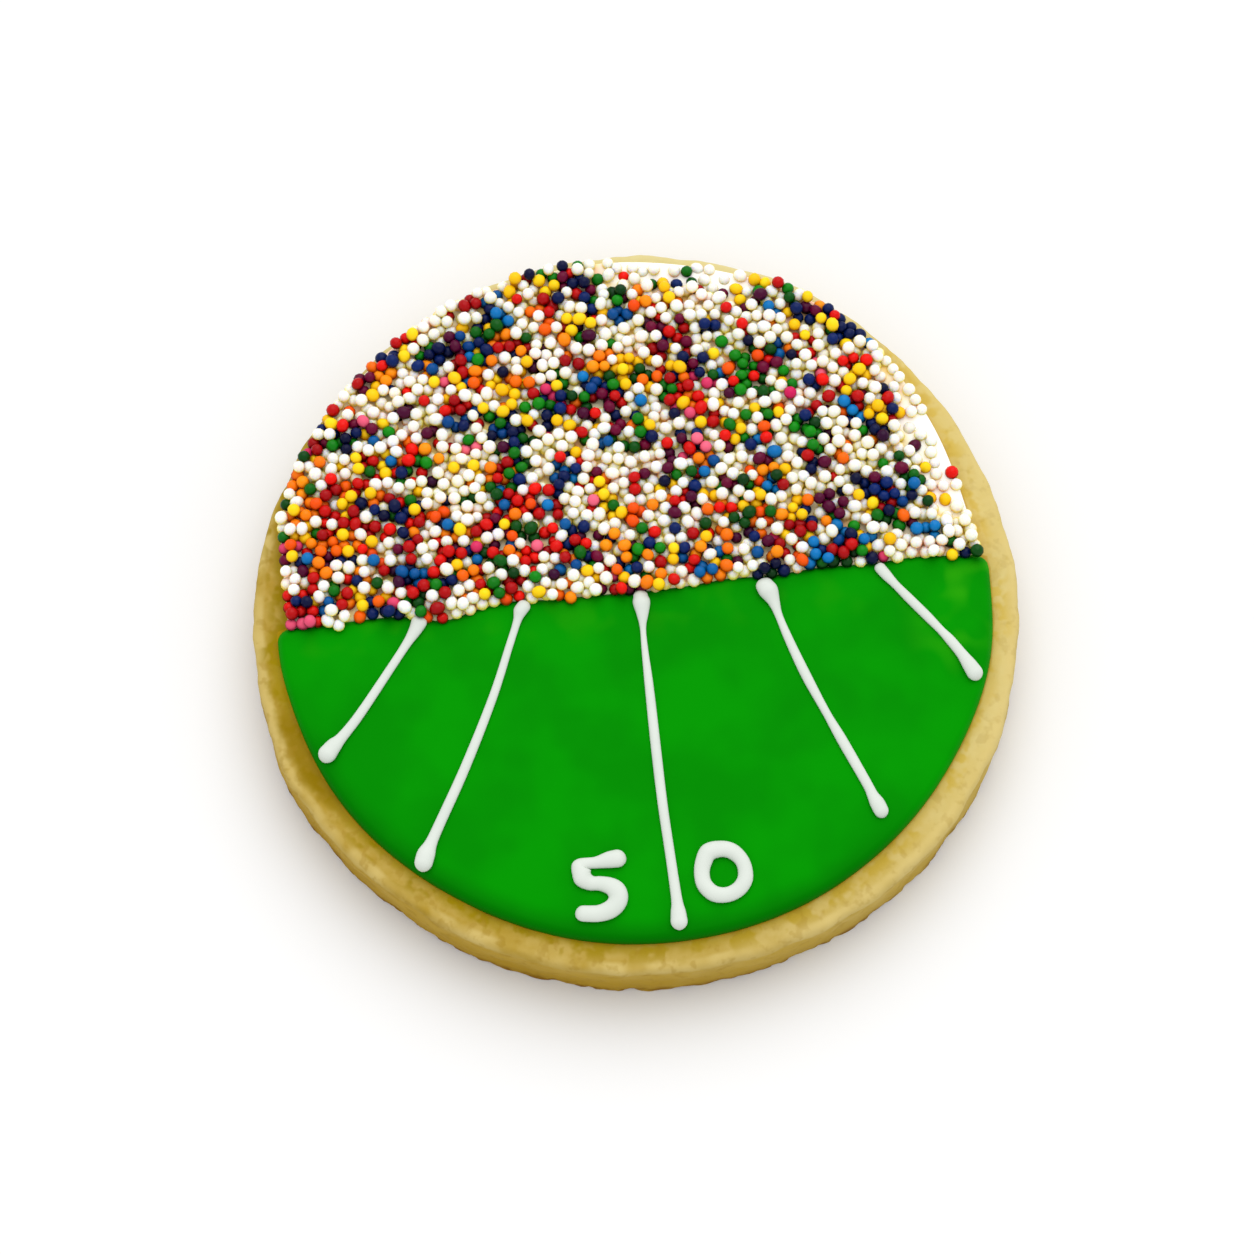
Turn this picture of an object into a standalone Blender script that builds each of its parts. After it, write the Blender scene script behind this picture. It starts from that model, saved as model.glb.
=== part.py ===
"""Iced sugar cookie: a round cut biscuit, its front half flooded with green icing that carries five
piped field lines and the numerals 5 and 0, its back half with white icing under round sprinkles.

Metres, +Z up. The origin is the centre of the flat base. The middle line runs along Y, and the
sprinkled half is towards +Y.
"""

import math
import random

import bmesh
import bpy
from mathutils import Matrix, Vector, noise

MM = 0.001
GAP = 0.3 * MM

# Biscuit: cut with a 76 mm round cutter, and baked to its height on a flat tray
BISCUIT_RADIUS = 38.0 * MM
BISCUIT_HEIGHT = 7.3 * MM
BISCUIT_SEGMENTS = 64
OVAL_DEPTH, OVAL_TOWARDS = 0.19 * MM, math.radians(9)
LOBE_DEPTH, LOBE_TOWARDS = 0.18 * MM, math.radians(-37)
CRAG_DEPTH, CRAG_LENGTH = 0.30 * MM, 5.0 * MM

# Half section of the biscuit from the flat of its top to that of its base: how far each point
# lies inside the cut edge, and its height
RIM_FLAT = 4.2 * MM
HALF_SECTION = (
    (RIM_FLAT, BISCUIT_HEIGHT),
    (1.30 * MM, BISCUIT_HEIGHT - 0.06 * MM),
    (0.50 * MM, BISCUIT_HEIGHT - 0.42 * MM),
    (0.08 * MM, BISCUIT_HEIGHT - 1.30 * MM),
    (0.00 * MM, 0.50 * BISCUIT_HEIGHT),
    (0.12 * MM, 0.90 * MM),
    (0.42 * MM, 0.24 * MM),
    (1.00 * MM, 0.00 * MM),
)

# Seam: where the two floods of icing meet, across the biscuit, with one dip towards the green
SEAM_Y = 0.70 * MM
SEAM_WAVE_DEPTH, SEAM_WAVE_LENGTH = 0.14 * MM, 31.0 * MM
SEAM_DIP_DEPTH, SEAM_DIP_X, SEAM_DIP_WIDTH = 0.95 * MM, -19.4 * MM, 2.8 * MM

# Floods: thin slabs of set icing, each half of a circle with its two corners rounded
ICING_BASE = BISCUIT_HEIGHT + GAP
ARC_STEPS, SEAM_STEPS = 34, 15
CORNER_ROUND = 1.3 * MM
CORNER_ANGLE = math.radians(1.7)
GREEN_CENTRE, GREEN_RADIUS = Vector((-0.3 * MM, 0.45 * MM)), 35.6 * MM
GREEN_WAVE_DEPTH, GREEN_WAVE_TOWARDS = 0.35 * MM, math.radians(-134)
GREEN_TOP, GREEN_EDGE_ROUND, GREEN_ROUND_STEPS = BISCUIT_HEIGHT + 1.2 * MM, 0.7 * MM, 2
WHITE_CENTRE, WHITE_RADIUS = Vector((-0.95 * MM, 0.95 * MM)), 35.6 * MM
WHITE_STRAIGHT_END_X = -34.8 * MM
WHITE_TOP, WHITE_EDGE_ROUND, WHITE_ROUND_STEPS = BISCUIT_HEIGHT + 1.0 * MM, 0.5 * MM, 1

# Piped icing: a bead with a flat foot, fatter where the tube started and stopped
BEAD_FOOT = GREEN_TOP + GAP
BEAD_PROFILE_SIDES = 5
BEAD_FOOT_TUCK = 0.88
TIP_SHARE, TIP_REACH = 0.45, 0.8
BULB_FADE = 1.9 * MM
LINE_HALF_WIDTH, LINE_HEIGHT = 0.62 * MM, 0.60 * MM

# Each field line: its name, the middles of its far and near bulbs, and their half widths, in mm
FIELD_LINES = (
    ("field_line_far_left", (-21.8, -0.7), (-31.7, -12.8), 0.80, 1.02),
    ("field_line_left", (-11.5, -0.5), (-23.2, -24.3), 0.84, 1.04),
    ("field_line_middle", (0.3, -0.6), (0.5, -32.9), 0.90, 0.92),
    ("field_line_right", (12.9, -0.8), (21.0, -24.2), 1.10, 0.95),
    ("field_line_far_right", (24.4, -0.6), (31.8, -11.3), 0.70, 0.92),
)

# Numerals: the middle of the five's stroke in mm, and the zero's oval
NUMERAL_HALF_WIDTH, NUMERAL_HEIGHT = 0.88 * MM, 0.75 * MM
FIVE_STROKE = (
    (-4.9, -26.3), (-6.6, -26.7), (-8.3, -26.75), (-8.4, -27.8), (-7.9, -28.6),
    (-6.4, -28.75), (-5.1, -29.5), (-5.0, -30.7), (-6.1, -31.45), (-8.3, -31.5),
)
ZERO_CENTRE, ZERO_REACH = Vector((5.3 * MM, -28.85 * MM)), Vector((2.1 * MM, 2.22 * MM))
ZERO_STEPS = 14

# Sprinkles: the largest of the covering, on a staggered grid with a seeded offset
SPRINKLE_SEED = 50
SPRINKLE_PITCH, SPRINKLE_STRAY = 2.60 * MM, 0.45 * MM
SPRINKLE_RADIUS_LEAST, SPRINKLE_RADIUS_MOST = 0.57 * MM, 0.70 * MM
SPRINKLE_LIFT = 0.55
SPRINKLE_FROM_EDGE = WHITE_EDGE_ROUND + 0.1 * MM

# Plain finishes: colour, roughness
GOLDEN_BISCUIT = ((0.62, 0.44, 0.17, 1.0), 0.80)
GREEN_ICING = ((0.004, 0.27, 0.002, 1.0), 0.35)
WHITE_ICING = ((0.86, 0.85, 0.80, 1.0), 0.45)
PIPED_WHITE = ((0.84, 0.87, 0.83, 1.0), 0.35)

SMOOTH_BELOW = math.radians(40)
WELD = 0.01 * MM


def clear_scene():
    for item in list(bpy.data.objects):
        bpy.data.objects.remove(item, do_unlink=True)


def finish_of(name, colour_and_roughness):
    colour, roughness = colour_and_roughness
    material = bpy.data.materials.new(name)
    material.use_nodes = True
    shader = material.node_tree.nodes["Principled BSDF"]
    shader.inputs["Base Color"].default_value = colour
    shader.inputs["Roughness"].default_value = roughness
    shader.inputs["Metallic"].default_value = 0.0
    return material


def add_object(name, data, material):
    data.materials.append(material)
    item = bpy.data.objects.new(name, data)
    bpy.context.scene.collection.objects.link(item)
    return item


def mesh_of(name, bm):
    bmesh.ops.recalc_face_normals(bm, faces=bm.faces)
    mesh = bpy.data.meshes.new(name)
    bm.to_mesh(mesh)
    bm.free()
    mesh.shade_smooth()
    mesh.set_sharp_from_angle(angle=SMOOTH_BELOW)
    return mesh


def direction(angle):
    return Vector((math.cos(angle), math.sin(angle)))


def spread(angle):
    """How far the cut edge spread past its circle: a slight oval with three slight lobes."""
    oval = OVAL_DEPTH * math.cos(2 * (angle - OVAL_TOWARDS))
    return oval + LOBE_DEPTH * math.cos(3 * (angle - LOBE_TOWARDS))


def biscuit(material):
    """The half section spun round, then pushed out to the spread edge with its shallow crags."""
    bm = bmesh.new()
    points = [Vector((0, 0, BISCUIT_HEIGHT))]
    points += [Vector((BISCUIT_RADIUS - inside, 0, height)) for inside, height in HALF_SECTION]
    points.append(Vector((0, 0, 0)))
    section = [bm.verts.new(point) for point in points]
    edges = [bm.edges.new(pair) for pair in zip(section, section[1:])]
    bmesh.ops.spin(
        bm, geom=section + edges, axis=(0, 0, 1), cent=(0, 0, 0),
        angle=math.tau, steps=BISCUIT_SEGMENTS, use_merge=True,
    )
    bmesh.ops.remove_doubles(bm, verts=bm.verts, dist=WELD)
    wall = [vertex for vertex in bm.verts if vertex.co.xy.length > BISCUIT_RADIUS - RIM_FLAT + WELD]
    for vertex in wall:
        outwards = vertex.co.xy.normalized()
        crag = CRAG_DEPTH * noise.noise(vertex.co / CRAG_LENGTH)
        vertex.co.xy += outwards * (spread(math.atan2(outwards.y, outwards.x)) + crag)
    for axis in (0, 1):
        places = [vertex.co[axis] for vertex in wall]
        middle = (max(places) + min(places)) / 2
        for vertex in wall:
            vertex.co[axis] -= middle
    return add_object("biscuit", mesh_of("biscuit", bm), material)


def seam(x):
    """Where the green icing ends and the white begins, along Y."""
    wave = SEAM_WAVE_DEPTH * math.sin(math.tau * x / SEAM_WAVE_LENGTH)
    dip = SEAM_DIP_DEPTH * math.exp(-(((x - SEAM_DIP_X) / SEAM_DIP_WIDTH) ** 2))
    return SEAM_Y + wave - dip


def green_edge(angle):
    wave = GREEN_WAVE_DEPTH * math.cos(3 * (angle - GREEN_WAVE_TOWARDS))
    return GREEN_CENTRE + (GREEN_RADIUS + wave) * direction(angle)


def white_edge(angle):
    """The round edge of the white flood, which ends nearly straight on the left."""
    point = WHITE_CENTRE + WHITE_RADIUS * direction(angle)
    point.x = max(point.x, WHITE_STRAIGHT_END_X)
    return point


def half_outline(round_edge, towards, seam_gap):
    """Outline of one flood: its round edge from right to left, then its seam back to the right.

    towards is 1 for the half towards +Y, and -1 for the other.
    """
    outline = []
    for step in range(ARC_STEPS + 1):
        angle = CORNER_ANGLE + (math.pi - 2 * CORNER_ANGLE) * step / ARC_STEPS
        outline.append(round_edge(towards * angle))
    right, left = outline[0].x, outline[-1].x
    tuck = CORNER_ROUND * (1 - math.sqrt(0.5))
    outline.append(Vector((left + tuck, seam(left) + towards * (seam_gap + tuck))))
    left, right_end = left + CORNER_ROUND, right - CORNER_ROUND
    for step in range(SEAM_STEPS + 1):
        x = left + (right_end - left) * step / SEAM_STEPS
        outline.append(Vector((x, seam(x) + towards * seam_gap)))
    outline.append(Vector((right - tuck, seam(right) + towards * (seam_gap + tuck))))
    return outline


def flood(name, outline, top, edge_round, round_steps, material):
    """A thin slab of set icing on the biscuit, with a rounded upper edge."""
    bm = bmesh.new()
    foot = bm.faces.new([bm.verts.new((point.x, point.y, ICING_BASE)) for point in outline])
    grown = bmesh.ops.extrude_face_region(bm, geom=[foot], use_keep_orig=True)
    raised = {part for part in grown["geom"] if isinstance(part, bmesh.types.BMVert)}
    bmesh.ops.translate(bm, verts=list(raised), vec=(0, 0, top - ICING_BASE))
    rim = [edge for edge in bm.edges if raised.issuperset(edge.verts)]
    bmesh.ops.bevel(
        bm, geom=rim, offset=edge_round, segments=round_steps, profile=0.5,
        affect="EDGES", material=-1, clamp_overlap=True,
    )
    return add_object(name, mesh_of(name, bm), material)


def bead_profile():
    """Half oval with a flat foot, one unit high and to each side: a guide, not a piece."""
    curve = bpy.data.curves.new("bead_profile", "CURVE")
    curve.dimensions = "2D"
    spline = curve.splines.new("POLY")
    spline.points.add(BEAD_PROFILE_SIDES)
    spline.use_cyclic_u = True
    for step, target in enumerate(spline.points):
        point = direction(math.pi * (1 - step / BEAD_PROFILE_SIDES))
        reach = BEAD_FOOT_TUCK if step in (0, BEAD_PROFILE_SIDES) else 1
        target.co = (point.x * reach, point.y, 0, 1)
    guide = bpy.data.objects.new("bead_profile", curve)
    guide.hide_render = True
    guide.display_type = "WIRE"
    bpy.context.scene.collection.objects.link(guide)
    return guide


def bead(name, stations, height_share, closed, profile, material):
    """A piped bead through stations, each a place and a half width, in the icing's plane."""
    curve = bpy.data.curves.new(name, "CURVE")
    curve.dimensions = "3D"
    curve.twist_mode = "Z_UP"
    curve.bevel_mode = "OBJECT"
    curve.bevel_object = profile
    curve.use_fill_caps = not closed
    spline = curve.splines.new("POLY")
    spline.points.add(len(stations) - 1)
    spline.use_cyclic_u = closed
    for target, (place, half_width) in zip(spline.points, stations):
        target.co = (place.x, place.y, 0, 1)
        target.radius = half_width
    item = add_object(name, curve, material)
    item.location.z = BEAD_FOOT
    item.scale.z = height_share
    return item


def rounded_end(place, beside, half_width):
    """The small last station that rounds off a bead, just past place, away from beside."""
    past = (place - beside).normalized() * half_width * TIP_REACH
    return place + past, half_width * TIP_SHARE


def field_line(name, far, near, far_bulb, near_bulb, profile, material):
    """A straight bead with a bulb at each end."""
    stations = [rounded_end(far, near, far_bulb), (far, far_bulb)]
    along = (near - far).normalized()
    stations.append((far + along * BULB_FADE, LINE_HALF_WIDTH))
    stations.append((near - along * BULB_FADE, LINE_HALF_WIDTH))
    stations += [(near, near_bulb), rounded_end(near, far, near_bulb)]
    return bead(name, stations, LINE_HEIGHT / LINE_HALF_WIDTH, False, profile, material)


def numeral_five(profile, material):
    stroke = [Vector(point) * MM for point in FIVE_STROKE]
    stations = [(point, NUMERAL_HALF_WIDTH) for point in stroke]
    stations.insert(0, rounded_end(stroke[0], stroke[1], NUMERAL_HALF_WIDTH))
    stations.append(rounded_end(stroke[-1], stroke[-2], NUMERAL_HALF_WIDTH))
    share = NUMERAL_HEIGHT / NUMERAL_HALF_WIDTH
    return bead("numeral_five", stations, share, False, profile, material)


def numeral_zero(profile, material):
    stations = []
    for step in range(ZERO_STEPS):
        offset = direction(math.tau * step / ZERO_STEPS) * ZERO_REACH
        stations.append((ZERO_CENTRE + offset, NUMERAL_HALF_WIDTH))
    share = NUMERAL_HEIGHT / NUMERAL_HALF_WIDTH
    return bead("numeral_zero", stations, share, True, profile, material)


def holds_sprinkle(place):
    """True where the middle of a sprinkle stands on the flat top of the white icing."""
    offset = place - WHITE_CENTRE
    return (
        offset.length < WHITE_RADIUS - SPRINKLE_FROM_EDGE
        and place.x > WHITE_STRAIGHT_END_X + SPRINKLE_FROM_EDGE
        and place.y > seam(place.x) + GAP + SPRINKLE_FROM_EDGE
    )


def sprinkles(material):
    """Round sprinkles, sunk a little into the white icing, as one mesh of separate balls."""
    draw = random.Random(SPRINKLE_SEED)
    bm = bmesh.new()
    row_pitch = SPRINKLE_PITCH * math.sin(math.radians(60))
    columns = math.ceil(WHITE_RADIUS / SPRINKLE_PITCH) + 1
    for row in range(1, math.ceil(BISCUIT_RADIUS / row_pitch) + 1):
        for column in range(-columns, columns + 1):
            place = Vector(((column + row % 2 / 2) * SPRINKLE_PITCH, row * row_pitch))
            place += Vector((draw.uniform(-1, 1), draw.uniform(-1, 1))) * SPRINKLE_STRAY
            radius = draw.uniform(SPRINKLE_RADIUS_LEAST, SPRINKLE_RADIUS_MOST)
            turn = Matrix.Rotation(draw.uniform(0, math.tau), 4, "Z")
            if holds_sprinkle(place):
                centre = Matrix.Translation((*place, WHITE_TOP + SPRINKLE_LIFT * radius))
                bmesh.ops.create_icosphere(
                    bm, subdivisions=1, radius=radius, matrix=centre @ turn,
                )
    return add_object("sprinkles", mesh_of("sprinkles", bm), material)


def join_sprinkles(icing, balls):
    """Fuses the sprinkles to the white icing that holds them."""
    topping = bpy.data.collections.new("topping")
    bpy.context.scene.collection.children.link(topping)
    bpy.context.scene.collection.objects.unlink(balls)
    topping.objects.link(balls)
    union = icing.modifiers.new("sprinkles", "BOOLEAN")
    union.operation = "UNION"
    union.operand_type = "COLLECTION"
    union.collection = topping
    union.solver = "EXACT"
    view = bpy.context.evaluated_depsgraph_get()
    icing.data = bpy.data.meshes.new_from_object(icing.evaluated_get(view))
    icing.modifiers.clear()
    bpy.data.objects.remove(balls, do_unlink=True)
    bpy.data.collections.remove(topping)


def build():
    clear_scene()
    golden = finish_of("golden_biscuit", GOLDEN_BISCUIT)
    green = finish_of("green_icing", GREEN_ICING)
    white = finish_of("white_icing", WHITE_ICING)
    piped = finish_of("piped_white", PIPED_WHITE)

    biscuit(golden)
    flood(
        "green_icing", half_outline(green_edge, -1, 0.0),
        GREEN_TOP, GREEN_EDGE_ROUND, GREEN_ROUND_STEPS, green,
    )
    sprinkled = flood(
        "sprinkled_icing", half_outline(white_edge, 1, GAP),
        WHITE_TOP, WHITE_EDGE_ROUND, WHITE_ROUND_STEPS, white,
    )
    join_sprinkles(sprinkled, sprinkles(white))

    profile = bead_profile()
    for name, far, near, far_bulb, near_bulb in FIELD_LINES:
        far, near = Vector(far) * MM, Vector(near) * MM
        field_line(name, far, near, far_bulb * MM, near_bulb * MM, profile, piped)
    numeral_five(profile, piped)
    numeral_zero(profile, piped)


build()
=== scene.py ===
"""Looks of an iced sugar cookie: baked dough, green and white icing, piping and round sprinkles.

Metres, +Z up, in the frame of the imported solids: the sprinkled half lies towards +Y.
"""

import math
import random

import bmesh
import bpy
from mathutils import Matrix, Vector, noise


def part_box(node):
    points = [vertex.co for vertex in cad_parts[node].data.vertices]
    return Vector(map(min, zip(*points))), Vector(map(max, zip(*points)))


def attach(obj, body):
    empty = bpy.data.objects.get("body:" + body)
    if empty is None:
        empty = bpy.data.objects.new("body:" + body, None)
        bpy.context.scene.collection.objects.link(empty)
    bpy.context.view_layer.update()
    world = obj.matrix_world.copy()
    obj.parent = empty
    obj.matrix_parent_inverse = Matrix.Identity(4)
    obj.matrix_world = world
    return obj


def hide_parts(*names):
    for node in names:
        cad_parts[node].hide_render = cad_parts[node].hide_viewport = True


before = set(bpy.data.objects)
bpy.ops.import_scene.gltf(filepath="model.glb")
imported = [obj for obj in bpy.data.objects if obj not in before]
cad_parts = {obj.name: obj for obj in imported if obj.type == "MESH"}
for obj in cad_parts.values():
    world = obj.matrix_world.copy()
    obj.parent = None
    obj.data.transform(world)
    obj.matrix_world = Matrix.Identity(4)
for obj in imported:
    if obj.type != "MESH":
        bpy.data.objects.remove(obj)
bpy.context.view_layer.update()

MM = 0.001
ROOT = "root"

# Heights that the solids set
DOUGH_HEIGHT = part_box("biscuit")[1].z
GREEN_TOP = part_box("green_icing")[1].z
WHITE_TOP = DOUGH_HEIGHT + 0.95 * MM

# Dough: the cut edge and its crags
DOUGH_RADIUS = 38.0 * MM
OVAL_DEPTH, OVAL_TOWARDS = 0.19 * MM, math.radians(9)
LOBE_DEPTH, LOBE_TOWARDS = 0.18 * MM, math.radians(-37)
CRAG_DEPTH, CRAG_LENGTH = 0.30 * MM, 5.0 * MM
CRUMBS = ((0.12 * MM, 1.9 * MM), (0.06 * MM, 0.8 * MM))
FOOT_BITE, FOOT_BITE_LENGTH, FOOT_BITE_HEIGHT = 0.4 * MM, 1.2 * MM, 1.2 * MM
FOOT_BITE_MORE = 0.15
FOOT_FLARE, FOOT_FLARE_HEIGHT = 0.1 * MM, 2.6 * MM
RIM_LUMP, RIM_LUMP_LENGTH, RIM_LUMP_FROM = 0.12 * MM, 2.4 * MM, 0.7
RIM_LUMP_SEED = Vector((9, 0, 0))
DOUGH_STEPS = 640
RIM_STEPS, EDGE_STEPS, WALL_STEPS, FOOT_STEPS = 14, 8, 20, 5
SAME_PLACE = 0.005 * MM
HIDDEN_RADIUS = DOUGH_RADIUS - 6.0 * MM
EDGE_ROUND, FOOT_ROUND = 0.75 * MM, 0.25 * MM
# Bulges of an outline: mm outwards, at how many degrees, and how many degrees wide
DOUGH_BULGES = ((-0.46, 20, 34), (-0.24, 95, 20), (-0.34, 140, 24), (0.2, 190, 22), (0.35, 202, 9))

# Seam and floods of icing
SEAM_Y = 0.70 * MM
SEAM_WAVE_DEPTH, SEAM_WAVE_LENGTH = 0.14 * MM, 31.0 * MM
# Swells of the seam: mm of rise, where along X in mm, and how wide in mm
SEAM_SWELLS = ((-0.95, -19.4, 2.8), (0.5, -12, 3.5), (0.3, -5, 4), (0.35, 9.5, 3), (0.75, 19, 5),
               (0.8, 28, 5))
CORNER_ROUND = 1.3 * MM
CORNER_ANGLE = math.radians(1.7)
CORNER_STEPS = 5
ARC_STEPS, SEAM_STEPS = 170, 90
GREEN_CENTRE, GREEN_RADIUS = Vector((-0.3 * MM, 0.45 * MM)), 35.6 * MM
GREEN_WAVE_DEPTH, GREEN_WAVE_TOWARDS = 0.35 * MM, math.radians(-134)
GREEN_BULGES = ((-0.4, -4, 9), (-0.2, -32, 12), (0.3, -70, 18), (-0.55, -126, 20), (0.3, -176, 8))
WHITE_CENTRE, WHITE_RADIUS = Vector((-0.95 * MM, 0.95 * MM)), 35.6 * MM
WHITE_STRAIGHT_END_X = -34.8 * MM
WHITE_BULGES = ((0.95, 50, 18), (-0.5, 9, 12), (-0.3, 104, 9), (-0.2, 130, 22))
WHITE_TUCK = 0.25 * MM
GREEN_EDGE_ROUND, WHITE_EDGE_ROUND, ROUND_STEPS = 0.9 * MM, 0.6 * MM, 8
GREEN_FALL, FALL_WIDTH = 0.14 * MM, 5 * MM
FLOOD_WAVE_DEPTH, FLOOD_WAVE_LENGTH = 0.05 * MM, 9 * MM
SUNK = 0.1 * MM
GRID_PITCH = 1.1 * MM
# Strips of nearly bare white icing along its edge: degrees from and to, how bare, and mm wide
BARE_STRIPS = ((7, 29, 0.97, 3.0), (26, 36, 0.5, 1.4), (62, 88, 0.92, 2.6))
BARE_REACH = 5 * MM
BEGIN_BLUR, END_BLUR = 3, 4
BARE_INNER, BARE_OUTER = 0.75, 1.3

# Piping: the height of a bead's top and of its middle, in half widths, and the turn of its round end
PIPE_SIDES = 20
PIPE_RISE, PIPE_LIFT = 0.95, 0.32
END_STEPS, END_TURN = 5, 88
PATH_STEPS = 6

# Sprinkles: how many are dropped, and which of them stay
POUR_SEED = 50
POUR_TRIES = 11000
PERCHED_SHARE, PERCHED_LEAST, PERCHED_MOST = 0.28, 0.35, 1.7
BARE_MISSED = 0.93
COPY_SHARE, COPY_REACH = 0.28, 1.15
BEAD_LEAST, BEAD_USUAL, BEAD_MOST = 0.56 * MM, 0.63 * MM, 0.71 * MM
BEAD_SUNK, BARE_SUNK = 0.55, 0.8
TOUCH = 0.9
CELL = 1.5 * MM
SHOULDER = 0.6 * MM
EDGE_ROOM = 0.32 * MM
SEAM_OVERLAP = 0.1 * MM
# Painted shade on sprinkles that others lie above: how much higher those must lie, and how strong the
# shade is
COVER_RISE, PAINTED_SHADE_UNDER_COVER = 0.2 * MM, 0.5
STRETCH_MOST, STRETCH_RARITY = 0.22, 4
# How far a sprinkle rolls at once, in radii, and in how many directions it tries
ROLL_FIRST, ROLL_LAST, ROLL_WAYS = 0.6, 0.08, 6
# Row of sprinkles along the seam: where it begins and ends, and mm past the seam and between two
ROW_BEGIN, ROW_END = 0.4 * MM, 1.2 * MM
ROW_SCATTER, ROW_GAP = (-0.05, 0.35), (1.12, 1.5)
# Patches of one colour: how large, how strong, and how far apart in mm their noises are taken
PATCH_LENGTH, PATCH_FORCE, PATCH_SHIFT = 5.0 * MM, 2.3, 7
# Beside bare icing more of the sprinkles are white
WHITER, WHITER_WIDTH = 3, 1.9
# Single sprinkles that lie over the seam: mm along X, mm past the seam, and colour
STRAYS = ((-29.7, 0.65, "white"), (31.6, 0.3, "yellow"), (-6.6, 0.35, "orange"))
STRAY_TINT = 0.8

# Camera: where the photograph was taken from
PHOTO_SIDE = 1254
PHOTO_FOCAL = 3480
TARGET = Vector((0, 0, 3.5 * MM))
TARGET_PIXEL = (637.5, 612.4)
CAMERA_DISTANCE = 350 * MM
CAMERA_AZIMUTH, CAMERA_ELEVATION = math.radians(-6.2), math.radians(71.54)
SENSOR = 36.0
NEAREST = 10 * MM

# Light: an azimuth turns from -Y towards +X
BRIGHT = 1.2
SKY = 0.76 * BRIGHT
KEY_STRENGTH = 1.15 * BRIGHT
KEY_AZIMUTH, KEY_ELEVATION = math.radians(164), math.radians(57)
KEY_SPREAD = math.radians(64)
FLOOR_HALF = 1.5


def srgb(red, green, blue):
    """A colour from its usual screen values, 0 to 255."""
    shares = [value / 255 for value in (red, green, blue)]
    return [
        share / 12.92 if share <= 0.04045 else ((share + 0.055) / 1.055) ** 2.4
        for share in shares
    ] + [1.0]


def seen(red, green, blue):
    """The colour of a surface that looks like these screen values under the light here."""
    return [share / BRIGHT for share in srgb(red, green, blue)[:3]] + [1.0]


class Value:
    """One output of a finish's nodes. Sums of values and numbers make its Math nodes."""

    def __init__(self, finish, socket):
        self.finish = finish
        self.socket = socket

    def math(self, operation, first, second):
        return self.finish.node("ShaderNodeMath", {"operation": operation}, {0: first, 1: second})

    def __add__(self, other):
        return self.math("ADD", self, other)

    def __sub__(self, other):
        return self.math("SUBTRACT", self, other)

    def __rsub__(self, other):
        return self.math("SUBTRACT", other, self)

    def __mul__(self, other):
        return self.math("MULTIPLY", self, other)

    __radd__ = __add__
    __rmul__ = __mul__


class Finish:
    """A material under way."""

    def __init__(self, name, constants):
        self.material = bpy.data.materials.new(name)
        self.material.use_nodes = True
        self.tree = self.material.node_tree
        self.shader = self.tree.nodes["Principled BSDF"]
        for socket, value in constants.items():
            self.shader.inputs[socket].default_value = value
        self.place = self.node("ShaderNodeTexCoord", output="Object")

    def node(self, kind, settings=None, sockets=None, output=0):
        """Makes a node: its settings first, then the values or links of its sockets."""
        made = self.tree.nodes.new(kind)
        for name, value in (settings or {}).items():
            setattr(made, name, value)
        for name, value in (sockets or {}).items():
            self.feed(made.inputs[name], value)
        return Value(self, made.outputs[output])

    def feed(self, socket, value):
        if isinstance(value, Value):
            self.tree.links.new(value.socket, socket)
        else:
            socket.default_value = value

    def axis(self, name):
        return self.node("ShaderNodeSeparateXYZ", sockets={0: self.place}, output=name)

    def attribute(self, name):
        return self.node("ShaderNodeAttribute", {"attribute_name": name}, output="Fac")

    def noise(self, length, detail=2.0, roughness=0.5, seed=0.0):
        """Cloudy noise from 0 to 1, whose clouds are about length across."""
        return self.node(
            "ShaderNodeTexNoise", {"noise_dimensions": "4D"},
            {"Vector": self.place, "W": seed, "Scale": 1 / length, "Detail": detail,
             "Roughness": roughness},
        )

    def step(self, value, low, high):
        """0 where value is below low and 1 above high, with a smooth step between."""
        return self.node(
            "ShaderNodeMapRange", {"interpolation_type": "SMOOTHSTEP"},
            {"Value": value, "From Min": low, "From Max": high}, "Result",
        )

    def mix(self, share, below, above):
        return self.node(
            "ShaderNodeMix", {"data_type": "RGBA"}, {0: share, 6: below, 7: above}, 2,
        )

    def bump(self, height, depth):
        """Relief from height, a value of 0 to 1 that stands for depth in metres."""
        relief = self.node(
            "ShaderNodeBump", sockets={"Height": height, "Distance": depth, "Strength": 1.0},
        )
        self.feed(self.shader.inputs["Normal"], relief)

    def surface(self, **fields):
        """Feeds what changes over the surface, by socket name with its spaces as underscores."""
        for name, value in fields.items():
            self.feed(self.shader.inputs[name.replace("_", " ")], value)
        return self.material


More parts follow.
